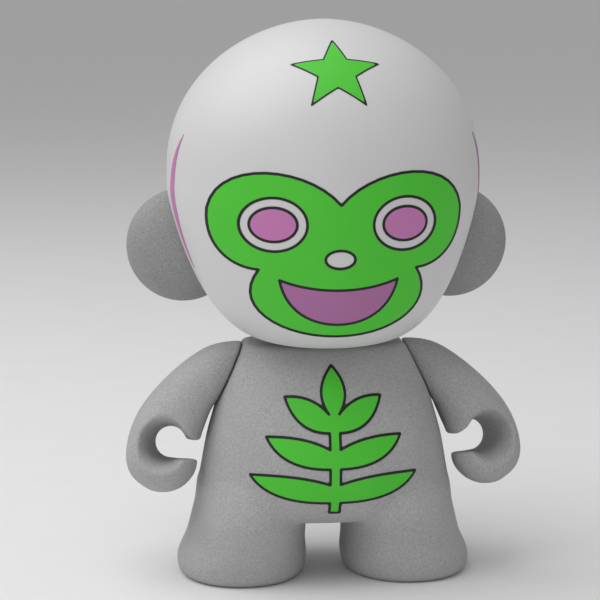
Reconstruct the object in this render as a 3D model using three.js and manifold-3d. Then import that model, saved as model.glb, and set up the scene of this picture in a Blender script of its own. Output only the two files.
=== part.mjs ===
// Vinyl art toy: a big round head with two plugged-in ears turns on a squat
// body, and two mitten arms swing at the shoulders. Units are millimetres, +Z is
// up, the figure faces -Y, and the origin is on the floor under its middle.

import * as THREE from 'three';
import { mergeVertices } from 'three/addons/utils/BufferGeometryUtils.js';
import Module from 'manifold-3d';

const wasm = await Module();
wasm.setup();

// ---- driving dimensions ----

const GAP = 0.3;
const WALL = 2.4;
const DEEP = 200;
const SAME_POINT = 1e-4;

// How many facets each shape has: around, then along.
const FACETS = {
  head: [32, 20],
  headRoom: [16, 12],
  ear: [22, 14],
  torso: [32, 10],
  torsoRoom: [16, 5],
  leg: [24, 7],
  legRoom: [16, 3],
  arm: [20, 14],
  bar: 20,
  neckPeg: 24,
  corner: 3,
  curve: 4,
};

// The head is an egg: each half follows a superellipse, and the chin is pushed
// forward as it goes down. rise shapes the height and round shapes the width.
const HEAD = {
  halfWidth: 49.8,
  halfDepth: 45.5,
  widest: 127.3,
  top: 178,
  bottom: 76.5,
  chinForward: 11,
  softening: 0.08,
  upper: { rise: 2.1, round: 1.9 },
  lower: { rise: 1.1, round: 3.8 },
};
const NECK_HOLE_RADIUS = 8;
const HEAD_SEAT = HEAD.bottom + WALL + 2 * GAP;
const SEAT_MARGIN = 1;
const SEAT_HEIGHT = 8;

const EAR = { radius: 18.6, halfThickness: 11.5, x: 43.8, y: 13.5, z: 105.3 };
const EAR_PLUG = { width: 10, height: 12, corner: 3, y: 12.5, innerX: 33, outerX: 47.8 };
const EAR_SOCKET = { innerX: 28, outerX: 51.8 };

// Each torso level: height, half width, front and back.
const TORSO_LEVELS = [
  [20.8, 38.2, -24, 21.5],
  [24.2, 41.2, -29, 25.5],
  [28.5, 41.2, -32, 27.5],
  [36, 39.9, -33.8, 28.5],
  [46, 38.0, -33.4, 27.5],
  [56, 35.2, -30.2, 24.5],
  [66, 32.6, -25.2, 20.5],
  [72, 30.2, -20.8, 17.5],
  [75.6, 28.0, -17.0, 14.5],
];
const TORSO_TOP = TORSO_LEVELS[TORSO_LEVELS.length - 1][0];
const TORSO_SQUARENESS = 2.15;
// Each leg level: height, middle, half width, front and back.
const LEG_LEVELS = [
  [0, 26.9, 17.5, -21.7, 19.5],
  [1.2, 27.0, 19.9, -24.0, 21.8],
  [3.5, 27.0, 20.8, -25.0, 22.7],
  [13.5, 25.4, 19.2, -27.0, 24.2],
  [23, 23.6, 18.5, -30.2, 26.2],
  [34, 20.4, 19.0, -27.0, 24.0],
  [40, 18.0, 15.0, -22.0, 20.0],
];

// The shoulder is a flat face on each side, and the arm turns on its normal.
const SHOULDER = { x: 30.6, z: 65.2, tiltDegrees: 26, blockDepth: 60, below: 12, above: 32 };
const SHOULDER_PEG = { radius: 4, intoArm: 6, flangeRadius: 7, flangeThickness: 2 };
const SHOULDER_BORE = { innerEnd: -14, outerEnd: 6, flangeRoom: -7 };
const ARM_SOCKET_START = -2;
const NECK_PEG = { radius: 7.7, flangeRadius: 11, flangeThickness: 2 };
const PEG_JOIN_OVERLAP = 0.5;

// The arm is drawn hanging straight down and then swung forward to rest. Each
// level runs from the shoulder to the fist: the outer edge (x, z), the inner edge
// (x, z), half the depth and its middle in y.
const ARM_REST_DEGREES = 13;
const ARM_LEVELS = [
  [25.5, 75.3, 35.8, 54.6, 7.0, 0],
  [36.4, 73.9, 36.3, 54.0, 10.0, 1.4],
  [47.2, 67.0, 37.2, 52.0, 11.3, 2.4],
  [56.9, 57.4, 38.5, 48.8, 11.8, 2.4],
  [62.2, 48.5, 40.2, 44.6, 12.0, 1.6],
  [64.2, 39.5, 41.2, 39.4, 12.0, 1],
  [62.6, 33.2, 42.6, 33.6, 11.2, 1],
  [57.8, 28.9, 46.2, 29.6, 8.8, 1],
  [54.4, 27.6, 50.2, 27.7, 4.0, 1],
];
const ARM_SQUARENESS = 2.3;
const GRIP = {
  back: { x: 47.5, y: 13, z: 43.4, radius: 5 },
  front: { x: 53.6, y: -11, z: 43.4, radius: 6.4 },
  overrun: 6,
};
// The gap between thumb and fingers, in x and z.
const FINGER_GAP = [
  [30, 37.3],
  [47.5, 38],
  [50, 40],
  [50, 46],
  [48.6, 47.6],
  [43.4, 43.8],
  [30, 43.6],
];

const STICKER_THICKNESS = 0.4;
const ORNAMENT_TILT = Math.SQRT1_2;
// How far each outline is run out before it is trimmed to the skin: start, depth.
const AHEAD_RUN = [0, 80];
const SIDE_RUN = [20, 60];
const FOREHEAD_RUN = [95, 60];
// The mask leaves room for the mouth: the mouth's outline, made larger about its middle.
const MOUTH_ROOM = { acrossScale: 1.03, upScale: 1.06, middleZ: 92.5 };
const EYE = { x: 20, z: 118, acrossRadius: 7, upRadius: 5.2, whiteRim: 3 };
const NOSE = { z: 107.5, acrossRadius: 4.5, upRadius: 2.8 };
const STAR = { points: 5, outerRadius: 14, innerRadius: 6, height: 92 };
// Each pair of leaves: where it leaves the stem, its tip, and where it comes back.
const SPRIG = {
  top: 71,
  bottom: 26,
  halfWidth: 1.6,
  leaves: [
    { from: 57, tipX: 15, tipZ: 62, to: 51.5 },
    { from: 46.5, tipX: 21, tipZ: 50, to: 40.5 },
    { from: 35.5, tipX: 26, tipZ: 38, to: 29.5 },
  ],
};

// ---- materials ----

const WHITE_VINYL = { color: '#dcdcdc', roughness: 0.35, metalness: 0 };
const GREY_VINYL = { color: '#8c8c8c', roughness: 0.8, metalness: 0 };
const GREEN_PRINT = { color: '#48a832', roughness: 0.45, metalness: 0 };
const PINK_PRINT = { color: '#aa699b', roughness: 0.45, metalness: 0 };
const PEG_PLASTIC = { color: '#5f6266', roughness: 0.5, metalness: 0 };

// ---- small helpers ----

function solid(geometry) {
  const bare = geometry.clone();
  bare.deleteAttribute('normal');
  bare.deleteAttribute('uv');
  const merged = mergeVertices(bare, SAME_POINT);
  return new wasm.Manifold(new wasm.Mesh({
    numProp: 3,
    vertProperties: new Float32Array(merged.attributes.position.array),
    triVerts: new Uint32Array(merged.index.array),
  }));
}

function mirrored(body) {
  const mesh = body.getMesh();
  const points = Float32Array.from(mesh.vertProperties);
  for (let i = 0; i < points.length; i += 3) {
    points[i] = -points[i];
  }
  const corners = Uint32Array.from(mesh.triVerts);
  for (let i = 0; i < corners.length; i += 3) {
    [corners[i], corners[i + 1]] = [corners[i + 1], corners[i]];
  }
  return new wasm.Manifold(new wasm.Mesh({ numProp: 3, vertProperties: points, triVerts: corners }));
}

function node(name, body, look) {
  const mesh = body.getMesh();
  const geometry = new THREE.BufferGeometry();
  geometry.setAttribute('position', new THREE.BufferAttribute(mesh.vertProperties, 3));
  geometry.setIndex(new THREE.BufferAttribute(mesh.triVerts, 1));
  geometry.computeVertexNormals();
  const part = new THREE.Mesh(geometry, new THREE.MeshStandardMaterial(look));
  part.name = name;
  return part;
}

// A smooth run of values through rows of [position, ...values].
function through(rows) {
  const positions = rows.map((row) => row[0]);
  const values = rows.flatMap((row) => row.slice(1));
  const curve = new THREE.CubicInterpolant(positions, values, rows[0].length - 1);
  return (position) => [...curve.evaluate(position)];
}

// A closed body with one ring of points for each step, capped at both ends.
function loft([segments, steps], pointAt) {
  const geometry = new THREE.CylinderGeometry(1, 1, 1, segments, steps);
  const place = geometry.attributes.position;
  const unit = new THREE.Vector3();
  for (let i = 0; i < place.count; i += 1) {
    unit.fromBufferAttribute(place, i);
    place.setXYZ(i, ...pointAt(0.5 + unit.y, unit.x, -unit.z));
  }
  return solid(geometry);
}

// Moves a point of the unit circle outward, onto a squarer curve.
function squarer(u, v, squareness) {
  const length = (Math.abs(u) ** squareness + Math.abs(v) ** squareness) ** (1 / squareness);
  return length > 0 ? [u / length, v / length] : [0, 0];
}

// Boxes and prisms are drawn in their own frame and then turned into place.
function placed(geometry, origin, xAxis, yAxis, zAxis) {
  const turn = new THREE.Matrix4().makeBasis(xAxis, yAxis, zAxis);
  turn.setPosition(origin);
  return solid(geometry.applyMatrix4(turn));
}

const ORIGIN = new THREE.Vector3(0, 0, 0);
const X_AXIS = new THREE.Vector3(1, 0, 0);
const Y_AXIS = new THREE.Vector3(0, 1, 0);
const Z_AXIS = new THREE.Vector3(0, 0, 1);
const FORWARD = new THREE.Vector3(0, -1, 0);

function prism(outline, [start, depth], curveSegments) {
  const geometry = new THREE.ExtrudeGeometry(outline, { depth, bevelEnabled: false, curveSegments });
  return geometry.translate(0, 0, start);
}

// ---- head ----

function headSection(z, grow) {
  const above = z >= HEAD.widest;
  const end = above ? HEAD.top + grow : HEAD.bottom - grow;
  const shape = above ? HEAD.upper : HEAD.lower;
  const t = Math.min(Math.max((z - HEAD.widest) / (end - HEAD.widest), 0), 1);
  const { softening } = HEAD;
  const soft = (Math.hypot(t, softening) - softening) / (Math.hypot(1, softening) - softening);
  const size = (1 - soft ** shape.rise) ** (1 / shape.round);
  return {
    halfWidth: (HEAD.halfWidth + grow) * size,
    halfDepth: (HEAD.halfDepth + grow) * size,
    middleY: above ? 0 : -HEAD.chinForward * t ** 1.5,
  };
}

// The egg as a solid, larger than the head's outside by grow on every side.
function headEgg(grow, [segments, rings]) {
  const geometry = new THREE.SphereGeometry(1, segments, rings);
  const place = geometry.attributes.position;
  const unit = new THREE.Vector3();
  for (let i = 0; i < place.count; i += 1) {
    unit.fromBufferAttribute(place, i);
    const above = unit.y >= 0;
    const shape = above ? HEAD.upper : HEAD.lower;
    const end = above ? HEAD.top + grow : HEAD.bottom - grow;
    const t = Math.min(Math.abs(unit.y), 1) ** (2 / shape.rise);
    const z = HEAD.widest + t * (end - HEAD.widest);
    const section = headSection(z, grow);
    const around = Math.atan2(-unit.z, unit.x);
    const x = section.halfWidth * Math.cos(around);
    const y = section.middleY + section.halfDepth * Math.sin(around);
    place.setXYZ(i, x, y, z);
  }
  return solid(geometry);
}

function roundedRectangle(width, height, corner) {
  const shape = new THREE.Shape();
  const x = width / 2 - corner;
  const y = height / 2 - corner;
  shape.absarc(x, y, corner, 0, Math.PI / 2, false);
  shape.absarc(-x, y, corner, Math.PI / 2, Math.PI, false);
  shape.absarc(-x, -y, corner, Math.PI, Math.PI * 1.5, false);
  shape.absarc(x, -y, corner, Math.PI * 1.5, Math.PI * 2, false);
  return shape;
}

// The oval plug that holds the +X ear, or its socket when grow is the gap.
function earPlug(grow, fromX, toX) {
  const { width, height, corner, y } = EAR_PLUG;
  const outline = roundedRectangle(width + 2 * grow, height + 2 * grow, corner);
  const bar = prism(outline, [0, toX - fromX], FACETS.corner);
  return placed(bar, new THREE.Vector3(fromX, y, EAR.z), Y_AXIS, Z_AXIS, X_AXIS);
}

function earBody() {
  const ball = new THREE.SphereGeometry(1, ...FACETS.ear);
  const place = ball.attributes.position;
  for (let i = 0; i < place.count; i += 1) {
    const x = EAR.x + EAR.radius * place.getX(i);
    const y = EAR.y + EAR.halfThickness * -place.getZ(i);
    const z = EAR.z + EAR.radius * place.getY(i);
    place.setXYZ(i, x, y, z);
  }
  const lobe = solid(ball).subtract(headEgg(GAP, FACETS.head));
  return lobe.add(earPlug(0, EAR_PLUG.innerX, EAR_PLUG.outerX));
}

// A round bar on the neck axis between two heights.
function neckBar(radius, from, to) {
  const bar = new THREE.CylinderGeometry(radius, radius, to - from, FACETS.bar);
  bar.translate(0, (from + to) / 2, 0);
  return placed(bar, ORIGIN, X_AXIS, Z_AXIS, FORWARD);
}

function headShell() {
  const socket = earPlug(GAP, EAR_SOCKET.innerX, EAR_SOCKET.outerX);
  const seat = neckBar(NECK_PEG.flangeRadius + SEAT_MARGIN, HEAD_SEAT, HEAD_SEAT + SEAT_HEIGHT);
  return headEgg(0, FACETS.head)
    .subtract(headEgg(-WALL, FACETS.headRoom))
    .subtract(socket)
    .subtract(mirrored(socket))
    .subtract(seat)
    .subtract(neckBar(NECK_HOLE_RADIUS, HEAD.bottom - WALL, HEAD_SEAT + WALL));
}

// ---- body ----

const torsoAt = through(TORSO_LEVELS);
const legAt = through(LEG_LEVELS);

function levelSolid(levels, valuesAt, grow, facets) {
  const bottom = levels[0][0];
  const top = levels[levels.length - 1][0];
  return loft(facets, (t, u, v) => {
    const z = bottom + t * (top - bottom);
    const [middle, halfWidth, front, back] = valuesAt(z);
    const [across, along] = squarer(u, v, TORSO_SQUARENESS);
    const x = middle + (halfWidth + grow) * across;
    const y = (front + back) / 2 + ((back - front) / 2 + grow) * along;
    return [x, y, t === 0 || t === 1 ? z + (t * 2 - 1) * grow : z];
  });
}

function torsoSolid(grow, facets) {
  return levelSolid(TORSO_LEVELS, (z) => [0, ...torsoAt(z)], grow, facets);
}

function legSolid(grow, facets) {
  return levelSolid(LEG_LEVELS, legAt, grow, facets);
}

// The shoulder frame on the +X side: out points away from the body, up runs
// along the flat face and ahead points to the back.
const tilt = THREE.MathUtils.degToRad(SHOULDER.tiltDegrees);
const shoulderOut = new THREE.Vector3(Math.cos(tilt), 0, Math.sin(tilt));
const shoulderUp = new THREE.Vector3(-Math.sin(tilt), 0, Math.cos(tilt));
const shoulderAhead = Y_AXIS;

function shoulderPoint(outward) {
  return new THREE.Vector3(SHOULDER.x, 0, SHOULDER.z).addScaledVector(shoulderOut, outward);
}

// A block that lies outward (side 1) or inward (side -1) of the +X shoulder face
// and reaches from just above the armpit to over the neck.
function besideShoulder(outward, side) {
  const { blockDepth, below, above } = SHOULDER;
  const box = new THREE.BoxGeometry(blockDepth, DEEP, below + above);
  box.translate((side * blockDepth) / 2, 0, (above - below) / 2);
  return placed(box, shoulderPoint(outward), shoulderOut, shoulderAhead, shoulderUp);
}

// A round bar along the +X shoulder axis between two distances from its face.
function shoulderBar(radius, from, to) {
  const bar = new THREE.CylinderGeometry(radius, radius, to - from, FACETS.bar);
  bar.translate(0, (from + to) / 2, 0);
  return placed(bar, shoulderPoint(0), shoulderUp, shoulderOut, shoulderAhead);
}

function bodyOutside(grow) {
  const leg = legSolid(grow, FACETS.leg);
  const facet = besideShoulder(grow, 1);
  return torsoSolid(grow, FACETS.torso)
    .add(leg)
    .add(mirrored(leg))
    .subtract(facet)
    .subtract(mirrored(facet));
}

function bodyShell() {
  const legRoom = legSolid(-WALL, FACETS.legRoom);
  const facet = besideShoulder(-WALL, 1);
  const room = torsoSolid(-WALL, FACETS.torsoRoom)
    .add(legRoom)
    .add(mirrored(legRoom))
    .subtract(facet)
    .subtract(mirrored(facet));
  const { innerEnd, outerEnd, flangeRoom } = SHOULDER_BORE;
  const bore = shoulderBar(SHOULDER_PEG.radius + GAP, innerEnd, outerEnd)
    .add(shoulderBar(SHOULDER_PEG.flangeRadius + 2 * GAP, flangeRoom, -WALL));
  return bodyOutside(0)
    .subtract(room)
    .subtract(bore)
    .subtract(mirrored(bore))
    .subtract(neckBar(NECK_HOLE_RADIUS, TORSO_TOP - 2 * WALL, TORSO_TOP + WALL));
}

// A hard plastic spool: a shaft with a wide flange at each end.
function neckPeg() {
  const low = TORSO_TOP - WALL - GAP;
  const high = HEAD_SEAT + GAP;
  const { radius, flangeRadius, flangeThickness } = NECK_PEG;
  const profile = [
    new THREE.Vector2(0, low - flangeThickness),
    new THREE.Vector2(flangeRadius, low - flangeThickness),
    new THREE.Vector2(flangeRadius, low),
    new THREE.Vector2(radius, low),
    new THREE.Vector2(radius, high),
    new THREE.Vector2(flangeRadius, high),
    new THREE.Vector2(flangeRadius, high + flangeThickness),
    new THREE.Vector2(0, high + flangeThickness),
  ];
  const lathe = new THREE.LatheGeometry(profile, FACETS.neckPeg);
  return placed(lathe, ORIGIN, X_AXIS, Z_AXIS, FORWARD);
}

function shoulderPeg() {
  const { radius, intoArm, flangeRadius, flangeThickness } = SHOULDER_PEG;
  const inside = -WALL - GAP;
  return shoulderBar(radius, inside - PEG_JOIN_OVERLAP, intoArm)
    .add(shoulderBar(flangeRadius, inside - flangeThickness, inside));
}

// ---- arms ----

function gripTunnel() {
  const { back, front, overrun } = GRIP;
  const from = new THREE.Vector3(back.x, back.y, back.z);
  const to = new THREE.Vector3(front.x, front.y, front.z);
  const along = to.clone().sub(from);
  const length = along.length();
  along.normalize();
  const growth = (front.radius - back.radius) / length;
  const cone = new THREE.CylinderGeometry(
    front.radius + growth * overrun,
    back.radius - growth * overrun,
    length + 2 * overrun,
    FACETS.bar,
  );
  const side = new THREE.Vector3().crossVectors(along, Z_AXIS).normalize();
  const other = new THREE.Vector3().crossVectors(side, along);
  return placed(cone, from.add(to).multiplyScalar(0.5), side, along, other);
}

function fingerGap() {
  const outline = new THREE.Shape(FINGER_GAP.map(([x, z]) => new THREE.Vector2(x, z)));
  return placed(prism(outline, [-DEEP / 2, DEEP], 1), ORIGIN, X_AXIS, Z_AXIS, FORWARD);
}

// Swings the +X arm forward about the shoulder axis.
function swungForward(body, degrees) {
  const angle = THREE.MathUtils.degToRad(degrees);
  const turn = new THREE.Matrix4().makeRotationAxis(shoulderOut.clone().negate(), angle);
  const pivot = shoulderPoint(0);
  const swing = new THREE.Matrix4().makeTranslation(pivot);
  swing.multiply(turn);
  swing.multiply(new THREE.Matrix4().makeTranslation(pivot.negate()));
  return body.transform(swing.elements);
}

function armBody() {
  const rowsAt = through(ARM_LEVELS.map((row, i) => [i, ...row]));
  const last = ARM_LEVELS.length - 1;
  const sleeve = loft(FACETS.arm, (t, u, v) => {
    const [outerX, outerZ, innerX, innerZ, halfDepth, middleY] = rowsAt(t * last);
    const [across, along] = squarer(u, v, ARM_SQUARENESS);
    const share = (1 + across) / 2;
    const x = innerX + (outerX - innerX) * share;
    const z = innerZ + (outerZ - innerZ) * share;
    return [x, middleY - halfDepth * along, z];
  });
  const socketEnd = SHOULDER_PEG.intoArm + GAP;
  const socket = shoulderBar(SHOULDER_PEG.radius + GAP, ARM_SOCKET_START, socketEnd);
  const arm = sleeve
    .subtract(besideShoulder(GAP, -1))
    .subtract(socket)
    .subtract(gripTunnel())
    .subtract(fingerGap());
  return swungForward(arm, ARM_REST_DEGREES);
}

// ---- stickers ----

// A closed outline from its +X half, which runs from the middle line back to it.
function twoSided(draw) {
  const half = new THREE.Path();
  draw(half);
  const points = half.getPoints(FACETS.curve);
  const others = points.filter((point) => point.x > SAME_POINT).reverse();
  return new THREE.Shape([...points, ...others.map((point) => new THREE.Vector2(-point.x, point.y))]);
}

function ellipse(x, z, acrossRadius, upRadius) {
  const outline = new THREE.Shape();
  outline.absellipse(x, z, acrossRadius, upRadius, 0, 2 * Math.PI, false);
  return outline;
}

// A plain patch round the eyes that runs down over the muzzle, in x and z.
function maskOutline() {
  return twoSided((half) => {
    half.moveTo(0, 124);
    half.bezierCurveTo(10, 136, 36, 138, 39, 122);
    half.bezierCurveTo(40, 110, 32, 104, 24, 104);
    half.bezierCurveTo(32, 92, 18, 83, 0, 83);
  });
}

// A half-moon smile.
function mouthOutline() {
  return twoSided((half) => {
    half.moveTo(0, 98);
    half.quadraticCurveTo(10, 98, 18, 101);
    half.bezierCurveTo(16, 91, 8, 87, 0, 87);
  });
}

// A plain star over the forehead, in x and along the tilt.
function foreheadOutline() {
  const { points, outerRadius, innerRadius, height } = STAR;
  const corners = [];
  for (let i = 0; i < 2 * points; i += 1) {
    const angle = Math.PI / 2 + (i * Math.PI) / points;
    const radius = i % 2 === 0 ? outerRadius : innerRadius;
    corners.push(new THREE.Vector2(radius * Math.cos(angle), height + radius * Math.sin(angle)));
  }
  return new THREE.Shape(corners);
}

// A plain curved band down the side of the head, in y and z.
function templeOutline() {
  const outline = new THREE.Shape();
  outline.moveTo(-16, 144);
  outline.quadraticCurveTo(-1, 122, -12, 100);
  outline.quadraticCurveTo(-9, 122, -16, 144);
  return outline;
}

// A plain sprig: a stem with a leaf at its top and pairs of leaves down its sides, in x and z.
function chestOutline() {
  const { top, bottom, halfWidth, leaves } = SPRIG;
  return twoSided((half) => {
    half.moveTo(0, top);
    half.quadraticCurveTo(6.5, 64, halfWidth, leaves[0].from);
    for (const { from, tipX, tipZ, to } of leaves) {
      half.lineTo(halfWidth, from);
      half.quadraticCurveTo(0.45 * tipX, tipZ + 1, tipX, tipZ);
      half.quadraticCurveTo(0.8 * tipX, to, halfWidth, to);
    }
    half.lineTo(halfWidth, bottom);
    half.lineTo(0, bottom);
  });
}

// Prisms that run straight ahead, out of the +X side, and up over the forehead.
function aheadPrism(outline) {
  return placed(prism(outline, AHEAD_RUN, FACETS.curve), ORIGIN, X_AXIS, Z_AXIS, FORWARD);
}

function sidePrism(outline) {
  return placed(prism(outline, SIDE_RUN, FACETS.curve), ORIGIN, Y_AXIS, Z_AXIS, X_AXIS);
}

function foreheadPrism(outline) {
  const along = new THREE.Vector3(0, ORNAMENT_TILT, ORNAMENT_TILT);
  const out = new THREE.Vector3(0, -ORNAMENT_TILT, ORNAMENT_TILT);
  return placed(prism(outline, FOREHEAD_RUN, FACETS.curve), ORIGIN, X_AXIS, along, out);
}

const outerGrow = GAP + STICKER_THICKNESS;
const headSkin = headEgg(outerGrow, FACETS.head).subtract(headEgg(GAP, FACETS.head));
const bodySkin = bodyOutside(outerGrow).subtract(bodyOutside(GAP));

function mouthRoom() {
  const { acrossScale, upScale, middleZ } = MOUTH_ROOM;
  return placed(
    prism(mouthOutline(), AHEAD_RUN, FACETS.curve),
    new THREE.Vector3(0, 0, (1 - upScale) * middleZ),
    X_AXIS.clone().multiplyScalar(acrossScale),
    Z_AXIS.clone().multiplyScalar(upScale),
    FORWARD,
  );
}

// The white of an eye, and the nose, are holes in the patch.
function maskSticker() {
  const { x, z, acrossRadius, upRadius, whiteRim } = EYE;
  const eyeRoom = aheadPrism(ellipse(x, z, acrossRadius + whiteRim, upRadius + whiteRim));
  return aheadPrism(maskOutline())
    .subtract(eyeRoom)
    .subtract(mirrored(eyeRoom))
    .subtract(aheadPrism(ellipse(0, NOSE.z, NOSE.acrossRadius, NOSE.upRadius)))
    .subtract(mouthRoom())
    .intersect(headSkin);
}

function eyeSticker() {
  return aheadPrism(ellipse(EYE.x, EYE.z, EYE.acrossRadius, EYE.upRadius)).intersect(headSkin);
}

// ---- assembly ----

const group = new THREE.Group();

function add(name, body, look) {
  group.add(node(name, body, look));
}

function addPair(name, leftBody, look) {
  add(`${name}_left`, leftBody, look);
  add(`${name}_right`, mirrored(leftBody), look);
}

add('head_shell', headShell(), WHITE_VINYL);
addPair('ear', earBody(), GREY_VINYL);
add('body_shell', bodyShell(), GREY_VINYL);
add('neck_peg', neckPeg(), PEG_PLASTIC);
addPair('shoulder_peg', shoulderPeg(), PEG_PLASTIC);
addPair('arm', armBody(), GREY_VINYL);
add('mask_sticker', maskSticker(), GREEN_PRINT);
add('mouth_sticker', aheadPrism(mouthOutline()).intersect(headSkin), PINK_PRINT);
addPair('eye_sticker', eyeSticker(), PINK_PRINT);
add('forehead_sticker', foreheadPrism(foreheadOutline()).intersect(headSkin), GREEN_PRINT);
addPair('temple_sticker', sidePrism(templeOutline()).intersect(headSkin), PINK_PRINT);
add('chest_sticker', aheadPrism(chestOutline()).intersect(bodySkin), GREEN_PRINT);

export default group;
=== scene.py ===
"""A vinyl art toy: its fine surfaces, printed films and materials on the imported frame.

The figure stands on z = 0 and faces -Y. Shapes are drawn in millimetres, and MM turns them into metres.
"""

import math

import bmesh
import bpy
import numpy as np
from mathutils import Matrix, Vector
from mathutils.bvhtree import BVHTree
from mathutils.interpolate import poly_3d_calc


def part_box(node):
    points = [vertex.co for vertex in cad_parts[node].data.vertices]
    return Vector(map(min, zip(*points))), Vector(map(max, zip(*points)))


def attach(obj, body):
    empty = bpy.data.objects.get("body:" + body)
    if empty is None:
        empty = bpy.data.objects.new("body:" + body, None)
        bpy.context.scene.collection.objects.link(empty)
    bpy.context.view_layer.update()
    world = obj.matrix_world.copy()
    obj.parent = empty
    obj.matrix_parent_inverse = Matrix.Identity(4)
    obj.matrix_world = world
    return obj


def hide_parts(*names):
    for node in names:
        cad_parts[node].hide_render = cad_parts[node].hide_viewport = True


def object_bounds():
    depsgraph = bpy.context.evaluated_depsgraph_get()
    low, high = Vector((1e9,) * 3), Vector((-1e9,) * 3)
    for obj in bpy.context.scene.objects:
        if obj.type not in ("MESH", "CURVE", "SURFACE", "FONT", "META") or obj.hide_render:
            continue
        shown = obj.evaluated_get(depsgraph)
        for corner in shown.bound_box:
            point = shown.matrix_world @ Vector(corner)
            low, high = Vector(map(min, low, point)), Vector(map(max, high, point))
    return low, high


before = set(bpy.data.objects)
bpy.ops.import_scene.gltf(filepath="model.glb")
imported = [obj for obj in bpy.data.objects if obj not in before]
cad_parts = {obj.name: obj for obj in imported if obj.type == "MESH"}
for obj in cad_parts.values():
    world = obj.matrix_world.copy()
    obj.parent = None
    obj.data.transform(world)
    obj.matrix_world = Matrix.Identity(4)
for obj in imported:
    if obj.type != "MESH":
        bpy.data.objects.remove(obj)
cad_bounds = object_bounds()

MM = 0.001
SIDES = {"left": 1, "right": -1}


# ---- camera, floor and light ----

VIEW_AZIMUTH = math.radians(-6.4)
VIEW_ELEVATION = math.radians(9.3)
VIEW_DISTANCE = 0.667
VIEW_SIDESTEP = -0.0073
VIEW_HEIGHT_SHARE = 0.4955
LENS = 124.3
SENSOR_WIDTH = 36
CLIP_START = 0.01
CLIP_END = 200
FLOOR_REACH = 60000

# Each lamp: where it stands, what it is aimed at, its size and its power, in metres and watts.
LAMPS = {
    "key_lamp": ((-0.4, -0.08, 0.95), (0, 0, 0.08), 1.3, 7.8),
    "fill_lamp": ((-0.25, -1.0, 0.3), (0, 0, 0.04), 0.5, 0.5),
}
ROOM_BRIGHTNESS = 0.4


def make_camera():
    forward = Vector((
        -math.sin(VIEW_AZIMUTH) * math.cos(VIEW_ELEVATION),
        math.cos(VIEW_AZIMUTH) * math.cos(VIEW_ELEVATION),
        -math.sin(VIEW_ELEVATION),
    ))
    right = Vector((math.cos(VIEW_AZIMUTH), math.sin(VIEW_AZIMUTH), 0))
    height = cad_bounds[1][2] - cad_bounds[0][2]
    target = Vector((0, 0, cad_bounds[0][2] + VIEW_HEIGHT_SHARE * height)) + right * VIEW_SIDESTEP
    data = bpy.data.cameras.new("camera")
    data.lens = LENS
    data.sensor_width = SENSOR_WIDTH
    data.clip_start = CLIP_START
    data.clip_end = CLIP_END
    camera = bpy.data.objects.new("camera", data)
    camera.location = target - forward * VIEW_DISTANCE
    camera.rotation_euler = forward.to_track_quat("-Z", "Y").to_euler()
    bpy.context.scene.collection.objects.link(camera)
    bpy.context.scene.camera = camera


def aimed_lamp(name, position, target, size, power):
    data = bpy.data.lights.new(name, "AREA")
    data.shape = "DISK"
    data.size = size
    data.energy = power
    lamp = bpy.data.objects.new(name, data)
    lamp.location = position
    lamp.rotation_euler = (Vector(target) - Vector(position)).to_track_quat("-Z", "Y").to_euler()
    bpy.context.scene.collection.objects.link(lamp)


def make_light():
    """A broad lamp high above the figure's right hand and a weak one ahead of it, in a bright room."""
    for name, settings in LAMPS.items():
        aimed_lamp(name, *settings)
    world = bpy.data.worlds.new("studio")
    bpy.context.scene.world = world
    world.use_nodes = True
    background = world.node_tree.nodes["Background"]
    background.inputs["Color"].default_value = (1, 1, 1, 1)
    background.inputs["Strength"].default_value = ROOM_BRIGHTNESS
    bpy.context.scene.view_settings.view_transform = "Standard"


# ---- materials ----

CLOUD_SCALE = 45
CLOUD_DETAIL = 3
CLOUD_MARGIN = 0.3
GRAIN_DETAIL = 1.5
GRAIN_ROUGHNESS = 0.6
GRAIN_MARGIN = 0.25


def principled(name, roughness):
    material = bpy.data.materials.new(name)
    material.use_nodes = True
    shader = material.node_tree.nodes["Principled BSDF"]
    shader.inputs["Roughness"].default_value = roughness
    return material, shader


def noise(material, scale, detail, rough=0.5):
    tree = material.node_tree
    place = tree.nodes.get("place") or tree.nodes.new("ShaderNodeTexCoord")
    place.name = "place"
    texture = tree.nodes.new("ShaderNodeTexNoise")
    texture.inputs["Scale"].default_value = scale
    texture.inputs["Detail"].default_value = detail
    texture.inputs["Roughness"].default_value = rough
    tree.links.new(place.outputs["Object"], texture.inputs["Vector"])
    return texture.outputs["Fac"]


def spread(material, value, low, high, margin):
    """Stretches a noise value between two results, which may be numbers or colours."""
    tree = material.node_tree
    ramp = tree.nodes.new("ShaderNodeValToRGB")
    ramp.color_ramp.elements[0].position = margin
    ramp.color_ramp.elements[1].position = 1 - margin
    for element, result in zip(ramp.color_ramp.elements, (low, high)):
        element.color = (result,) * 3 + (1,) if isinstance(result, float) else result
    tree.links.new(value, ramp.inputs["Fac"])
    return ramp.outputs["Color"]


def multiply(material, first, second):
    tree = material.node_tree
    mix = tree.nodes.new("ShaderNodeMix")
    mix.data_type = "RGBA"
    mix.blend_type = "MULTIPLY"
    mix.inputs["Factor"].default_value = 1
    tree.links.new(first, mix.inputs["A"])
    tree.links.new(second, mix.inputs["B"])
    return mix.outputs["Result"]


def bump(material, shader, height, depth):
    tree = material.node_tree
    node = tree.nodes.new("ShaderNodeBump")
    node.inputs["Strength"].default_value = 1
    node.inputs["Distance"].default_value = depth
    tree.links.new(height, node.inputs["Height"])
    tree.links.new(node.outputs["Normal"], shader.inputs["Normal"])


def linear(red, green, blue):
    """A display colour, 0 to 255, as the linear colour that a shader takes."""
    def one(value):
        share = value / 255
        return share / 12.92 if share <= 0.04045 else ((share + 0.055) / 1.055) ** 2.4
    return (one(red), one(green), one(blue), 1)


def shade(colour, factor):
    return tuple(channel * factor for channel in colour[:3]) + (1,)


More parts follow.
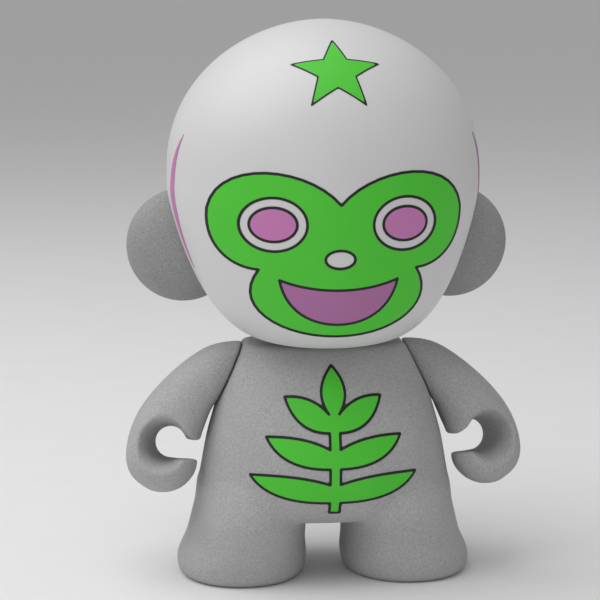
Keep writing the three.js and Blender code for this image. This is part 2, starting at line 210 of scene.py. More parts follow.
def tinted(name, colour, roughness, clouds, grain, grain_size=0.35, dent=0.01):
    """Moulded or printed plastic: soft clouds of tone, fine grain, and dents that catch the light."""
    material, shader = principled(name, roughness)
    cloud_noise = noise(material, CLOUD_SCALE, CLOUD_DETAIL)
    cloudy = spread(material, cloud_noise, shade(colour, 1 - clouds), shade(colour, 1 + clouds), CLOUD_MARGIN)
    fine = noise(material, 1 / (grain_size * MM), GRAIN_DETAIL, GRAIN_ROUGHNESS)
    grainy = spread(material, fine, 1 - grain, 1 + grain, GRAIN_MARGIN)
    tree = material.node_tree
    tree.links.new(multiply(material, cloudy, grainy), shader.inputs["Base Color"])
    bump(material, shader, fine, dent * MM)
    return material


WHITE_PAINT = linear(214, 214, 214)
GREY_VINYL = linear(172, 172, 172)
# The ears are the body's grey vinyl, darkened here as painted shade: the darker grey stands in for the shade
# the ears sit in.
EAR_VINYL_PAINTED_SHADE = linear(150, 150, 150)
GREEN_PRINT = linear(74, 202, 46)
PINK_PRINT = linear(198, 122, 180)
# The mouth's pink is the eye pink darkened as painted shade, standing in for the shade on the lower face.
MOUTH_PRINT_PAINTED_SHADE = linear(172, 108, 160)
BLACK_PRINT = linear(16, 16, 16)
PEG_PLASTIC = linear(92, 94, 98)
FLOOR_PAPER = linear(238, 238, 238)

PAINT_LOOK = {"roughness": 0.42, "clouds": 0.012, "grain": 0.01, "dent": 0.004}
VINYL_LOOK = {"roughness": 0.82, "clouds": 0.05, "grain": 0.18, "grain_size": 0.6, "dent": 0.1}
PRINT_LOOK = {"roughness": 0.6, "clouds": 0.03, "grain": 0.03, "dent": 0.004}
KEYLINE_LOOK = {"roughness": 0.6, "clouds": 0.1, "grain": 0.1, "dent": 0.004}
PEG_LOOK = {"roughness": 0.45, "clouds": 0.04, "grain": 0.04}
PAPER_LOOK = {"roughness": 0.8, "clouds": 0.008, "grain": 0.008}

white_paint = tinted("white_paint", WHITE_PAINT, **PAINT_LOOK)
# The ears' material is the body vinyl with painted shade, a darker copy of grey_vinyl.
ear_vinyl_painted_shade = tinted("ear_vinyl_painted_shade", EAR_VINYL_PAINTED_SHADE, **VINYL_LOOK)
grey_vinyl = tinted("grey_vinyl", GREY_VINYL, **VINYL_LOOK)
green_print = tinted("green_print", GREEN_PRINT, **PRINT_LOOK)
pink_print = tinted("pink_print", PINK_PRINT, **PRINT_LOOK)
# The mouth's material is the pink print with painted shade, a darker copy of pink_print.
mouth_print_painted_shade = tinted("mouth_print_painted_shade", MOUTH_PRINT_PAINTED_SHADE, **PRINT_LOOK)
black_print = tinted("black_print", BLACK_PRINT, **KEYLINE_LOOK)
peg_plastic = tinted("peg_plastic", PEG_PLASTIC, **PEG_LOOK)
floor_paper = tinted("floor_paper", FLOOR_PAPER, **PAPER_LOOK)


# ---- mesh helpers ----


def mesh_object(name, points, faces, *materials):
    """A smooth-shaded object from points in millimetres."""
    data = bpy.data.meshes.new(name)
    data.from_pydata([tuple(p) for p in np.asarray(points, float) * MM], [], faces)
    data.update()
    piece = bpy.data.objects.new(name, data)
    bpy.context.scene.collection.objects.link(piece)
    for material in materials:
        data.materials.append(material)
    data.shade_smooth()
    return piece


def rings_object(name, rings, *materials):
    """A closed body from rings of points, the first and last shrunk to a point."""
    count = len(rings[0])
    points = [rings[0].mean(0)] + [p for ring in rings[1:-1] for p in ring] + [rings[-1].mean(0)]
    faces = []
    for k in range(count):
        following = (k + 1) % count
        faces.append((0, 1 + following, 1 + k))
        for ring in range(len(rings) - 3):
            low = 1 + ring * count
            high = low + count
            faces.append((low + k, low + following, high + following, high + k))
        last = 1 + (len(rings) - 3) * count
        faces.append((last + k, last + following, len(points) - 1))
    points = np.array(points)
    corners = np.array([points[list(face[:3])] for face in faces])
    turned = np.einsum("ij,ij->i", corners[:, 0], np.cross(corners[:, 1], corners[:, 2])).sum() < 0
    return mesh_object(name, points, [face[::-1] for face in faces] if turned else faces, *materials)


def smooth_rows(rows, at):
    """Values on a smooth curve through rows of [position, ...values]."""
    rows = np.asarray(rows, float)
    place, values = rows[:, 0], rows[:, 1:]
    slopes = np.gradient(values, place, axis=0)
    at = np.clip(np.asarray(at, float), place[0], place[-1])
    k = np.clip(np.searchsorted(place, at, side="right") - 1, 0, len(place) - 2)
    width = (place[k + 1] - place[k])[:, None]
    t = (at[:, None] - place[k][:, None]) / width
    return (
        (2 * t**3 - 3 * t**2 + 1) * values[k]
        + (t**3 - 2 * t**2 + t) * width * slopes[k]
        + (3 * t**2 - 2 * t**3) * values[k + 1]
        + (t**3 - t**2) * width * slopes[k + 1]
    )


def apply_modifiers(piece):
    evaluated = piece.evaluated_get(bpy.context.evaluated_depsgraph_get())
    data = bpy.data.meshes.new_from_object(evaluated)
    piece.modifiers.clear()
    piece.data = data
    data.shade_smooth()


SMOOTHING = 0.5
BAR_SEGMENTS = 96
UNLIKE_ANY_BAR = (0.3, 0.5, 0.8)


def melt(piece, voxel, passes):
    """Joins a piece's overlapping bodies into one skin and rounds its corners."""
    remesh = piece.modifiers.new("remesh", "REMESH")
    remesh.mode = "VOXEL"
    remesh.voxel_size = voxel * MM
    smooth = piece.modifiers.new("smooth", "SMOOTH")
    smooth.factor = SMOOTHING
    smooth.iterations = passes
    apply_modifiers(piece)


def joined(name, pieces):
    """One object that holds several pieces' meshes."""
    together = bmesh.new()
    for piece in pieces:
        together.from_mesh(piece.data)
    data = bpy.data.meshes.new(name)
    together.to_mesh(data)
    together.free()
    for material in pieces[0].data.materials:
        data.materials.append(material)
    for piece in pieces:
        bpy.data.objects.remove(piece)
    whole = bpy.data.objects.new(name, data)
    bpy.context.scene.collection.objects.link(whole)
    return whole


def cut(piece, *tools):
    for tool in tools:
        boolean = piece.modifiers.new("cut", "BOOLEAN")
        boolean.operation = "DIFFERENCE"
        boolean.solver = "EXACT"
        boolean.object = tool
    apply_modifiers(piece)
    for tool in tools:
        bpy.data.objects.remove(tool)


def vertices(piece):
    flat = np.empty(len(piece.data.vertices) * 3)
    piece.data.vertices.foreach_get("co", flat)
    return flat.reshape(-1, 3)


def move_vertices(piece, places):
    piece.data.vertices.foreach_set("co", np.asarray(places, float).ravel())
    piece.data.update()


def fit_to_node(piece, node):
    """Stretches a piece, by a trace, so that it fills exactly the box of its CAD node."""
    low, high = (np.array(corner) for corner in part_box(node))
    places = vertices(piece)
    mine_low, mine_high = places.min(0), places.max(0)
    move_vertices(piece, low + (places - mine_low) / (mine_high - mine_low) * (high - low))


def mirrored_piece(piece, name):
    data = piece.data.copy()
    data.name = name
    data.transform(Matrix.Scale(-1, 4, (1, 0, 0)))
    data.flip_normals()
    data.shade_smooth()
    other = bpy.data.objects.new(name, data)
    bpy.context.scene.collection.objects.link(other)
    return other


def install(piece, body, slot_name, *nodes):
    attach(piece, body)
    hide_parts(*nodes)


def cylinder(name, start, end, radius):
    """A round bar between two points, in millimetres."""
    start, end = np.array(start, float), np.array(end, float)
    along = (end - start) / np.linalg.norm(end - start)
    side = np.cross(along, UNLIKE_ANY_BAR)
    side /= np.linalg.norm(side)
    other = np.cross(along, side)
    turns = np.linspace(0, 2 * math.pi, BAR_SEGMENTS, endpoint=False)[:, None]
    circle = np.cos(turns) * side + np.sin(turns) * other
    rings = [start + 0 * circle, start + radius * circle, end + radius * circle, end + 0 * circle]
    return rings_object(name, rings)


# ---- head ----

HEAD_LOW, HEAD_HIGH = (np.array(corner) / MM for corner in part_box("head_shell"))
HEAD_HALF_WIDTH = (HEAD_HIGH[0] - HEAD_LOW[0]) / 2
HEAD_HALF_DEPTH = 45.5
HEAD_WIDEST = 127.3
CHIN_FORWARD = 11.0
CHIN_CURVE = 1.5
SOFTENING = 0.08
UPPER = {"rise": 2.1, "round": 1.9}
LOWER = {"rise": 1.1, "round": 3.8}
WALL = 2.4
NECK_HOLE_RADIUS = 8
HEAD_FACETS = (180, 224)
HEAD_ROOM_FACETS = (48, 64)
EAR_SEGMENTS = 120
EAR_RINGS = 72
EAR_DEPTH_IN_HEAD = 0.6


def head_sections(z):
    """Half width, half depth and middle y of the egg at each height."""
    above = z >= HEAD_WIDEST
    end = np.where(above, HEAD_HIGH[2], HEAD_LOW[2])
    t = np.clip((z - HEAD_WIDEST) / (end - HEAD_WIDEST), 0, 1)
    soft = (np.hypot(t, SOFTENING) - SOFTENING) / (math.hypot(1, SOFTENING) - SOFTENING)
    rise = np.where(above, UPPER["rise"], LOWER["rise"])
    rounding = np.where(above, UPPER["round"], LOWER["round"])
    size = np.clip(1 - soft**rise, 0, 1) ** (1 / rounding)
    middle = np.where(above, 0, -CHIN_FORWARD * t**CHIN_CURVE)
    return HEAD_HALF_WIDTH * size, HEAD_HALF_DEPTH * size, middle


def egg(name, rings, segments, inset=0):
    """The head's egg, or one that lies inside it by inset on every side."""
    latitudes = np.linspace(-math.pi / 2, math.pi / 2, rings)
    above = latitudes >= 0
    t = np.abs(np.sin(latitudes)) ** (2 / np.where(above, UPPER["rise"], LOWER["rise"]))
    z = HEAD_WIDEST + t * (np.where(above, HEAD_HIGH[2], HEAD_LOW[2]) - HEAD_WIDEST)
    turns = np.linspace(0, 2 * math.pi, segments, endpoint=False)
    half_width, half_depth, middle = head_sections(z)
    height = (HEAD_HIGH[2] - HEAD_LOW[2]) / 2
    centre = (HEAD_HIGH[2] + HEAD_LOW[2]) / 2
    shapes = []
    for level, w, d, m in zip(z, half_width, half_depth, middle):
        x = w * (1 - inset / HEAD_HALF_WIDTH) * np.cos(turns)
        y = m + d * (1 - inset / HEAD_HALF_DEPTH) * np.sin(turns)
        lifted = centre + (level - centre) * (1 - inset / height)
        shapes.append(np.stack([x, y, np.full_like(turns, lifted)], 1))
    return rings_object(name, shapes, white_paint)


def make_head():
    head = egg("head", *HEAD_FACETS)
    low = HEAD_LOW[2]
    hole = cylinder("hole", (0, 0, low - WALL), (0, 0, low + 3 * WALL), NECK_HOLE_RADIUS)
    cut(head, egg("head_room", *HEAD_ROOM_FACETS, WALL), hole)
    return head


def make_ear():
    """The +X ear: a thick round lobe whose inner side lies just inside the head."""
    low, high = (np.array(corner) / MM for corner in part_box("ear_left"))
    radius = (high[2] - low[2]) / 2
    centre = np.array([high[0] - radius, (low[1] + high[1]) / 2, (low[2] + high[2]) / 2])
    half_thickness = (high[1] - low[1]) / 2
    turns = np.linspace(0, 2 * math.pi, EAR_SEGMENTS, endpoint=False)
    rings = []
    for latitude in np.linspace(-math.pi / 2, math.pi / 2, EAR_RINGS):
        ring = np.stack([
            radius * math.cos(latitude) * np.cos(turns),
            half_thickness * math.cos(latitude) * np.sin(turns),
            np.full_like(turns, radius * math.sin(latitude)),
        ], 1)
        rings.append(centre + ring)
    ear = rings_object("ear_left_lobe", rings, ear_vinyl_painted_shade)
    places = vertices(ear) / MM
    half_width, half_depth, middle = head_sections(places[:, 2])
    across, along = places[:, 0], places[:, 1] - middle
    inside = np.hypot(across / half_width, along / half_depth)
    rim = 1 - EAR_DEPTH_IN_HEAD / HEAD_HALF_WIDTH
    pushed = np.where(inside < rim, rim / inside, 1)
    places[:, 0] = across * pushed
    places[:, 1] = along * pushed + middle
    move_vertices(ear, places * MM)
    return ear


# ---- body ----

# Each level: height, middle, half width, front and back.
TORSO_LEVELS = [
    (20.8, 0, 38.2, -24, 21.5),
    (24.2, 0, 41.2, -29, 25.5),
    (28.5, 0, 41.2, -32, 27.5),
    (36, 0, 39.9, -33.8, 28.5),
    (46, 0, 38.0, -33.4, 27.5),
    (56, 0, 35.2, -30.2, 24.5),
    (66, 0, 32.6, -25.2, 20.5),
    (72, 0, 30.2, -20.8, 17.5),
    (75.6, 0, 28.0, -17.0, 14.5),
]
LEG_LEVELS = [
    (0, 26.9, 17.5, -21.7, 19.5),
    (1.2, 27.0, 19.9, -24.0, 21.8),
    (3.5, 27.0, 20.8, -25.0, 22.7),
    (13.5, 25.4, 19.2, -27.0, 24.2),
    (23, 23.6, 18.5, -30.2, 26.2),
    (34, 20.4, 19.0, -27.0, 24.0),
    (40, 18.0, 15.0, -22.0, 20.0),
]
TORSO_SQUARENESS = 2.15
LEVEL_SEGMENTS = 160
TORSO_RINGS = 90
LEG_RINGS = 60
BODY_VOXEL = 0.85
BODY_SMOOTHING_PASSES = 10
SOLE_ROUNDING = 0.4
SHOULDER = np.array([30.6, 0, 65.2])
SHOULDER_TILT = math.radians(26)
SHOULDER_OUT = np.array([math.cos(SHOULDER_TILT), 0, math.sin(SHOULDER_TILT)])
SHOULDER_UP = np.array([-math.sin(SHOULDER_TILT), 0, math.cos(SHOULDER_TILT)])
SHOULDER_BLOCK = (-12, 32)
SHOULDER_REACH = 60
SHOULDER_BLOCK_HALF_DEPTH = 100
PEG_HOLE_RADIUS = 4.3
PEG_INTO_ARM = 6.3
PEG_HOLE_REACH = 9
HOLE_OVERRUN = 3
SHOULDER_GAP = 0.15


def squarer(turns, squareness):
    u, v = np.cos(turns), np.sin(turns)
    length = (np.abs(u) ** squareness + np.abs(v) ** squareness) ** (1 / squareness)
    return u / length, v / length


def level_body(name, levels, count, mirror=1):
    across, along = squarer(np.linspace(0, 2 * math.pi, LEVEL_SEGMENTS, endpoint=False), TORSO_SQUARENESS)
    heights = np.linspace(levels[0][0], levels[-1][0], count)
    rings = []
    for z, (middle, half_width, front, back) in zip(heights, smooth_rows(levels, heights)):
        x = mirror * middle + half_width * across
        y = (front + back) / 2 + (back - front) / 2 * along
        rings.append(np.stack([x, y, np.full_like(x, z)], 1))
    return rings_object(name, [rings[0], *rings, rings[-1]], grey_vinyl)


def beside_shoulder(side, outward, reach):
    """A block from just above the armpit to over the neck: it starts outward from the shoulder face."""
    corners = []
    for u in (outward, outward + reach):
        for v in SHOULDER_BLOCK:
            base = SHOULDER + u * SHOULDER_OUT + v * SHOULDER_UP
            for y in (-SHOULDER_BLOCK_HALF_DEPTH, SHOULDER_BLOCK_HALF_DEPTH):
                corners.append(base * (side, 1, 1) + (0, y, 0))
    faces = [(0, 1, 3, 2), (4, 6, 7, 5), (0, 4, 5, 1), (2, 3, 7, 6), (0, 2, 6, 4), (1, 5, 7, 3)]
    block = mesh_object("block", corners, faces)
    mesh = bmesh.new()
    mesh.from_mesh(block.data)
    bmesh.ops.recalc_face_normals(mesh, faces=mesh.faces)
    mesh.to_mesh(block.data)
    mesh.free()
    return block


def make_body():
    legs = [level_body("leg", LEG_LEVELS, LEG_RINGS, side) for side in SIDES.values()]
    torso = level_body("torso_form", TORSO_LEVELS, TORSO_RINGS)
    cut(torso, *[beside_shoulder(side, 0, SHOULDER_REACH) for side in SIDES.values()])
    body = joined("body", [torso, *legs])
    melt(body, BODY_VOXEL, BODY_SMOOTHING_PASSES)
    places = vertices(body)
    places[:, 2] = np.maximum(places[:, 2], SOLE_ROUNDING * MM)
    move_vertices(body, places)
    fit_to_node(body, "body_shell")
    shell = body.modifiers.new("wall", "SOLIDIFY")
    shell.thickness = WALL * MM
    shell.offset = -1
    apply_modifiers(body)
    top = TORSO_LEVELS[-1][0]
    holes = [cylinder("hole", (0, 0, top - 4 * WALL), (0, 0, top + 2 * WALL), NECK_HOLE_RADIUS)]
    for side in SIDES.values():
        mirror = np.array([side, 1, 1])
        start = (SHOULDER - PEG_HOLE_REACH * SHOULDER_OUT) * mirror
        end = (SHOULDER + HOLE_OVERRUN * SHOULDER_OUT) * mirror
        holes.append(cylinder("hole", start, end, PEG_HOLE_RADIUS))
    cut(body, *holes)
    return body


# ---- arms ----

# The arm is drawn hanging straight down, and is then swung forward by this angle.
ARM_REST_ANGLE = math.radians(13)
ARM_ROOT = -1
# From shoulder to fist: step, outer edge x and z, inner edge x and z, half depth and middle y.
ARM_LEVELS = [
    (ARM_ROOT, 20.9, 73.2, 31.3, 52.4, 5.6, -1.0),
    (0, 25.5, 75.3, 35.8, 54.6, 7.0, 0),
    (1, 36.4, 73.9, 36.3, 54.0, 10.0, 1.4),
    (2, 47.2, 67.0, 37.2, 52.0, 11.3, 2.4),
    (3, 56.9, 57.4, 38.5, 48.8, 11.8, 2.4),
    (4, 62.2, 48.5, 40.2, 44.6, 12.0, 1.6),
    (5, 64.2, 39.5, 41.2, 39.4, 12.0, 1),
    (6, 62.6, 33.2, 42.6, 33.6, 11.2, 1),
    (7, 57.8, 28.9, 46.2, 29.6, 8.8, 1),
    (8, 54.4, 27.6, 50.2, 27.7, 4.0, 1),
]
ARM_SQUARENESS = 2.3
ARM_SEGMENTS = 128
ARM_RINGS = 120
ARM_VOXEL = 0.5
ARM_SMOOTHING_PASSES = 24
GRIP_BACK = np.array([47.5, 13, 43.4])
GRIP_FRONT = np.array([54.2, -11, 43.4])
GRIP_BACK_RADIUS = 5
GRIP_FRONT_RADIUS = 6.4
# How the grip hole flares where it leaves the hand: distance past the mouth, extra radius.
FRONT_FLARE = [(-8, 0), (-6, 0.4), (-4, 1.0), (-2.5, 1.7), (-1.2, 2.7), (0.2, 4.2), (4, 8.8)]
BACK_FLARE = [(-4, 0), (-2.5, 0.2), (-1, 0.8), (0.4, 2.0), (4, 5.6)]
FINGER_GAP = [(30, 37.3), (47.5, 38), (50, 40), (50, 46), (48.6, 47.6), (43.4, 43.8), (30, 43.6)]
GAP_HALF_DEPTH = 40


def grip_tool():
    """A bar down the grip hole, flared like a trumpet at both ends."""
    length = np.linalg.norm(GRIP_FRONT - GRIP_BACK)
    along = (GRIP_FRONT - GRIP_BACK) / length
    side = np.cross(along, (0, 0, 1))
    side /= np.linalg.norm(side)
    other = np.cross(side, along)
    steps = [(-past, GRIP_BACK_RADIUS + extra) for past, extra in BACK_FLARE[::-1]]
    steps += [(length + past, GRIP_FRONT_RADIUS + extra) for past, extra in FRONT_FLARE]
    turns = np.linspace(0, 2 * math.pi, BAR_SEGMENTS, endpoint=False)[:, None]
    circle = np.cos(turns) * side + np.sin(turns) * other
    rings = [GRIP_BACK + at * along + radius * circle for at, radius in steps]
    return rings_object("grip_tool", [rings[0], *rings, rings[-1]])


def gap_tool():
    """A bar through the hand with the outline of the finger gap."""
    outline = np.array(FINGER_GAP)
    ends = (-GAP_HALF_DEPTH, GAP_HALF_DEPTH)
    rings = [np.stack([outline[:, 0], np.full(len(outline), y), outline[:, 1]], 1) for y in ends]
    return rings_object("gap_tool", [rings[0], *rings, rings[-1]])


def swing_forward(piece, angle):
    pivot = Matrix.Translation(Vector(SHOULDER) * MM)
    turn = Matrix.Rotation(-angle, 4, Vector(SHOULDER_OUT))
    piece.data.transform(pivot @ turn @ pivot.inverted())


def make_arm():
    """The +X arm: a sleeve that widens to a fist, with a splayed grip hole and a finger gap."""
    across, along = squarer(np.linspace(0, 2 * math.pi, ARM_SEGMENTS, endpoint=False), ARM_SQUARENESS)
    steps = np.linspace(ARM_ROOT, ARM_LEVELS[-1][0], ARM_RINGS)
    rings = []
    for outer_x, outer_z, inner_x, inner_z, half_depth, middle in smooth_rows(ARM_LEVELS, steps):
        share = (1 + across) / 2
        x = inner_x + (outer_x - inner_x) * share
        z = inner_z + (outer_z - inner_z) * share
        rings.append(np.stack([x, middle - half_depth * along, z], 1))
    arm = rings_object("arm_left_sleeve", [rings[0], *rings, rings[-1]], grey_vinyl)
    cut(arm, grip_tool(), gap_tool(), beside_shoulder(1, SHOULDER_GAP, -SHOULDER_REACH))
    melt(arm, ARM_VOXEL, ARM_SMOOTHING_PASSES)
    swing_forward(arm, ARM_REST_ANGLE)
    start = SHOULDER - HOLE_OVERRUN * SHOULDER_OUT
    end = SHOULDER + PEG_INTO_ARM * SHOULDER_OUT
    cut(arm, cylinder("socket", start, end, PEG_HOLE_RADIUS))
    return arm


# ---- printed films ----

LINE = 0.85
THIN_LINE = 0.5
HEAD_FILM_LIFT = 0.12
CHEST_FILM_LIFT = 0.14
FILM_CELL = 0.5
CURVE_STEPS = 14
ON_MIDDLE_LINE = 1e-6
NO_LENGTH = 1e-12
RAY_START = 80
FOREHEAD_RAY_START = 160
ELLIPSE_STEPS = 56
EYE_X = 20
EYE_Z = 118
EYE_RADII = np.array([7, 5.2])
EYE_WHITE_RIM = 3
NOSE = (107.5, 4.5, 2.8)
STAR_POINTS = 5
STAR_OUTER_RADIUS = 14
STAR_INNER_RADIUS = 6
STAR_HEIGHT = 92
SPRIG_TOP = 71
SPRIG_BOTTOM = 26
STEM_HALF_WIDTH = 1.6
# A leaf's upper edge bends at this share of its reach and this far above its tip, and its lower edge
# bends at LEAF_BELLY of its reach.
LEAF_CREST = (0.45, 1)
LEAF_BELLY = 0.8
# Each pair of leaves: where it leaves the stem, its tip (x, z), and where it comes back.
SPRIG_LEAVES = [(57, 15, 62, 51.5), (46.5, 21, 50, 40.5), (35.5, 26, 38, 29.5)]


class Pen:
    """Draws an outline from straight lines and Bezier curves, in millimetres."""

    def __init__(self, x, y):
        self.points = [(x, y)]

    def line(self, x, y):
        self.points.append((x, y))
        return self

    def curve(self, *controls):
        """A curve to the last control; one handle before it bends it simply, and two bend it twice."""
        corners = np.array([self.points[-1], *controls], float)
        order = len(corners) - 1
        for t in np.linspace(0, 1, CURVE_STEPS + 1)[1:]:
            weights = [math.comb(order, k) * t**k * (1 - t) ** (order - k) for k in range(order + 1)]
            self.points.append(tuple(np.array(weights) @ corners))
        return self

    def closed(self):
        return np.array(self.points)

    def two_sided(self):
        """The outline with its mirror image, for a half that starts and ends on the middle line."""
        half = np.array(self.points)
        other = half[half[:, 0] > ON_MIDDLE_LINE][::-1] * (-1, 1)
        return np.concatenate([half, other])


def ellipse(x, z, across_radius, up_radius):
    turns = np.linspace(0, 2 * math.pi, ELLIPSE_STEPS, endpoint=False)
    return np.stack([x + across_radius * np.cos(turns), z + up_radius * np.sin(turns)], 1)


def mask_loops():
    """A plain patch round the eyes that runs down over the muzzle, with holes for the eyes and nose."""
    patch = (
        Pen(0, 124)
        .curve((10, 136), (36, 138), (39, 122))
        .curve((40, 110), (32, 104), (24, 104))
        .curve((32, 92), (18, 83), (0, 83))
    )
    holes = [ellipse(side * EYE_X, EYE_Z, *(EYE_RADII + EYE_WHITE_RIM)) for side in SIDES.values()]
    return [patch.two_sided(), *holes, ellipse(0, *NOSE)]


def mouth_loops():
    """A half-moon smile."""
    return [Pen(0, 98).curve((10, 98), (18, 101)).curve((16, 91), (8, 87), (0, 87)).two_sided()]


def eye_loops():
    return [ellipse(EYE_X, EYE_Z, *EYE_RADII)]


def forehead_loops():
    """A plain star over the forehead, in x and along its tilt."""
    steps = np.arange(2 * STAR_POINTS)
    angles = math.pi / 2 + steps * math.pi / STAR_POINTS
    radii = np.where(steps % 2 == 0, STAR_OUTER_RADIUS, STAR_INNER_RADIUS)
    return [np.stack([radii * np.cos(angles), STAR_HEIGHT + radii * np.sin(angles)], 1)]


def temple_loops():
    """A plain curved band down the side of the head, in y and z."""
    return [Pen(-16, 144).curve((-1, 122), (-12, 100)).curve((-9, 122), (-16, 144)).closed()]


def chest_loops():
    """A plain sprig: a stem with a leaf at its top and pairs of leaves down its sides, in x and z."""
    half = Pen(0, SPRIG_TOP).curve((6.5, 64), (STEM_HALF_WIDTH, SPRIG_LEAVES[0][0]))
    for leaves_at, tip_x, tip_z, returns_at in SPRIG_LEAVES:
        half.line(STEM_HALF_WIDTH, leaves_at)
        half.curve((LEAF_CREST[0] * tip_x, tip_z + LEAF_CREST[1]), (tip_x, tip_z))
        half.curve((LEAF_BELLY * tip_x, returns_at), (STEM_HALF_WIDTH, returns_at))
    return [half.line(STEM_HALF_WIDTH, SPRIG_BOTTOM).line(0, SPRIG_BOTTOM).two_sided()]


def signed_distance(points, loops):
    """Distance to the nearest outline, negative inside, where a loop inside another is a hole."""
    nearest = np.full(len(points), np.inf)
    inside = np.zeros(len(points), bool)
    for loop in loops:
        starts, ends = loop, np.roll(loop, -1, axis=0)
        for a, b in zip(starts, ends):
            edge = b - a
            length = edge @ edge
            if length < NO_LENGTH:
                continue
            share = np.clip((points - a) @ edge / length, 0, 1)
            nearest = np.minimum(nearest, np.linalg.norm(points - a - share[:, None] * edge, axis=1))
            crosses = (a[1] > points[:, 1]) != (b[1] > points[:, 1])
            if crosses.any():
                at = a[0] + (points[:, 1] - a[1]) / (b[1] - a[1] if b[1] != a[1] else 1) * edge[0]
                inside ^= crosses & (points[:, 0] < at)
    return np.where(inside, -nearest, nearest)


def split_faces(points, values, faces, level):
    """Splits faces along the line where values reach level, and returns those below and above it."""
    made = {}
    below, above = [], []

    def crossing(a, b):
        key = (min(a, b), max(a, b))
        if key not in made:
            share = (level - values[a]) / (values[b] - values[a])
            points.append(points[a] + share * (points[b] - points[a]))
            values.append(level)
            made[key] = len(points) - 1
        return made[key]

    for face in faces:
        sides = [values[v] < level for v in face]
        if all(sides):
            below.append(face)
            continue
        if not any(sides):
            above.append(face)
            continue
        low, high = [], []
        for k, v in enumerate(face):
            following = face[(k + 1) % len(face)]
            (low if sides[k] else high).append(v)
            if sides[k] != (values[following] < level):
                middle = crossing(v, following)
                low.append(middle)
                high.append(middle)
        if len(low) > 2:
            below.append(tuple(low))
        if len(high) > 2:
            above.append(tuple(high))
    return below, above


def film_pattern(loops, line, cell, neighbour):
    """A flat sheet cut to its outline and up to its neighbour's, with its keyline's faces apart."""
    corners = np.concatenate(loops)
    low = corners.min(0) - 2 * cell
    counts = np.ceil((corners.max(0) + 2 * cell - low) / cell).astype(int) + 1
    columns, rows = np.meshgrid(range(counts[0]), range(counts[1]))
    grid = low + cell * np.stack([columns.ravel(), rows.ravel()], 1)
    distance = signed_distance(grid, loops)
    faces = []
    for row in range(counts[1] - 1):
        for column in range(counts[0] - 1):
            a = row * counts[0] + column
            b, c, d = a + 1, a + counts[0] + 1, a + counts[0]
            if min(distance[[a, b, c, d]]) < line / 2:
                faces += [(a, b, c), (a, c, d)] if (row + column) % 2 else [(a, b, d), (b, c, d)]
    points, values = list(grid), list(distance)
    kept, _ = split_faces(points, values, faces, line / 2)
    fill, keyline = split_faces(points, values, kept, -line / 2) if line else (kept, [])
    if neighbour:
        beside = list(-signed_distance(np.array(points), neighbour))
        fill, _ = split_faces(points, beside, fill, -line / 2)
        beside += list(-signed_distance(np.array(points[len(beside) :]).reshape(-1, 2), neighbour))
        keyline, _ = split_faces(points, beside, keyline, -line / 2)
    return points, fill, keyline


def surface_of(piece):
    """A tree for casting rays at a piece, with its smooth normals."""
    data = piece.data
    tree = BVHTree.FromPolygons([v.co for v in data.vertices], [p.vertices[:] for p in data.polygons])
    return tree, data


def drape(name, loops, target, cast, lift, colour, line=LINE, cell=FILM_CELL, neighbour=()):
    """Lays a film on a surface: cast gives the start and direction of the ray for a point of the pattern."""
    points, fill, keyline = film_pattern(loops, line, cell, neighbour)
    tree, data = target
    used = sorted({v for face in fill + keyline for v in face})
    index = {v: k for k, v in enumerate(used)}
    places, normals = [], []
    for v in used:
        start, direction = cast(*points[v])
        place, _, face, _ = tree.ray_cast(Vector(start) * MM, Vector(direction))
        corners = data.polygons[face].vertices
        weights = poly_3d_calc([data.vertices[c].co for c in corners], place)
        normal = sum((data.vertices[c].normal * w for c, w in zip(corners, weights)), Vector()).normalized()
        places.append(np.array(place / MM + normal * lift))
        normals.append(normal)
    faces = [tuple(index[v] for v in face) for face in fill + keyline]
    corner = [places[v] for v in faces[0][:3]]
    if np.dot(np.cross(corner[1] - corner[0], corner[2] - corner[0]), normals[faces[0][0]]) < 0:
        faces = [face[::-1] for face in faces]
    under = len(places)
    skirt = [(b, a, a + under, b + under) for a, b in open_edges(faces)]
    back = [tuple(v + under for v in face[::-1]) for face in faces]
    tops = np.array(places)
    bottoms = tops - 2 * lift * np.array(normals)
    piece = mesh_object(name, np.concatenate([tops, bottoms]), faces + skirt + back, colour, black_print)
    marks = [0] * len(fill) + [1] * len(keyline)
    edge_mark = 1 if line else 0
    piece.data.polygons.foreach_set("material_index", marks + [edge_mark] * len(skirt) + marks)
    piece.data.normals_split_custom_set_from_vertices(normals + normals)
    return piece


def open_edges(faces):
    once = {}
    for face in faces:
        for k, a in enumerate(face):
            b = face[(k + 1) % len(face)]
            if (b, a) in once:
                del once[(b, a)]
            else:
                once[(a, b)] = True
    return list(once)


def from_front(x, z):
    return (x, -RAY_START, z), (0, 1, 0)


def from_side(y, z):
    return (RAY_START, y, z), (-1, 0, 0)


def from_above_front(x, v):
    """Rays down the forehead's tilt: v runs up and back, halfway between +Y and +Z."""
    half = math.sqrt(0.5)
    start = np.array([x, v * half, v * half]) + FOREHEAD_RAY_START * np.array([0, -half, half])
    return tuple(start), (0, half, -half)


# ---- assembly ----


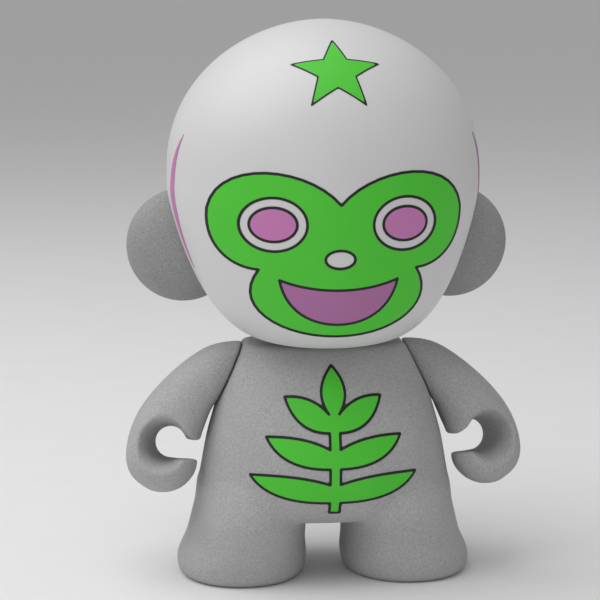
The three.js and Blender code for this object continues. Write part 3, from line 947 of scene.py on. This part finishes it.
def install_figure():
    """Puts the vinyl pieces on their bodies, and returns the head and the body for their films."""
    head = make_head()
    install(head, "head", "head_vinyl", "head_shell")
    ear = make_ear()
    install(ear, "head", "body_vinyl", "ear_left")
    install(mirrored_piece(ear, "ear_right_lobe"), "head", "body_vinyl", "ear_right")
    body = make_body()
    install(body, "torso", "body_vinyl", "body_shell")
    arm = make_arm()
    install(arm, "arm_left", "body_vinyl", "arm_left")
    install(mirrored_piece(arm, "arm_right_sleeve"), "arm_right", "body_vinyl", "arm_right")
    return head, body


def install_films(head, body):
    on_head = surface_of(head)
    lift = HEAD_FILM_LIFT
    mask = drape("mask_film", mask_loops(), on_head, from_front, lift, green_print, neighbour=mouth_loops())
    install(mask, "head", "green_print", "mask_sticker")
    eye = drape("eye_film_left", eye_loops(), on_head, from_front, lift, pink_print)
    install(eye, "head", "pink_print", "eye_sticker_left")
    install(mirrored_piece(eye, "eye_film_right"), "head", "pink_print", "eye_sticker_right")
    mouth = drape("mouth_film", mouth_loops(), on_head, from_front, lift, mouth_print_painted_shade)
    install(mouth, "head", "pink_print", "mouth_sticker")
    rays = from_above_front
    star = drape("forehead_film", forehead_loops(), on_head, rays, lift, green_print, line=THIN_LINE)
    install(star, "head", "green_print", "forehead_sticker")
    temple = drape("temple_film_left", temple_loops(), on_head, from_side, lift, pink_print, line=0)
    install(temple, "head", "pink_print", "temple_sticker_left")
    install(mirrored_piece(temple, "temple_film_right"), "head", "pink_print", "temple_sticker_right")
    on_body = surface_of(body)
    chest = drape("chest_film", chest_loops(), on_body, from_front, CHEST_FILM_LIFT, green_print)
    install(chest, "torso", "green_print", "chest_sticker")


def colour_pegs():
    for name in ("neck_peg", "shoulder_peg_left", "shoulder_peg_right"):
        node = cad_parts[name]
        node.data.materials.clear()
        node.data.materials.append(peg_plastic)


def make_floor():
    reach = FLOOR_REACH
    corners = [(-reach, -reach, 0), (reach, -reach, 0), (reach, reach, 0), (-reach, reach, 0)]
    floor = mesh_object("floor", corners, [(0, 1, 2, 3)], floor_paper)


def main():
    make_camera()
    make_light()
    head, body = install_figure()
    install_films(head, body)
    colour_pegs()
    make_floor()


main()
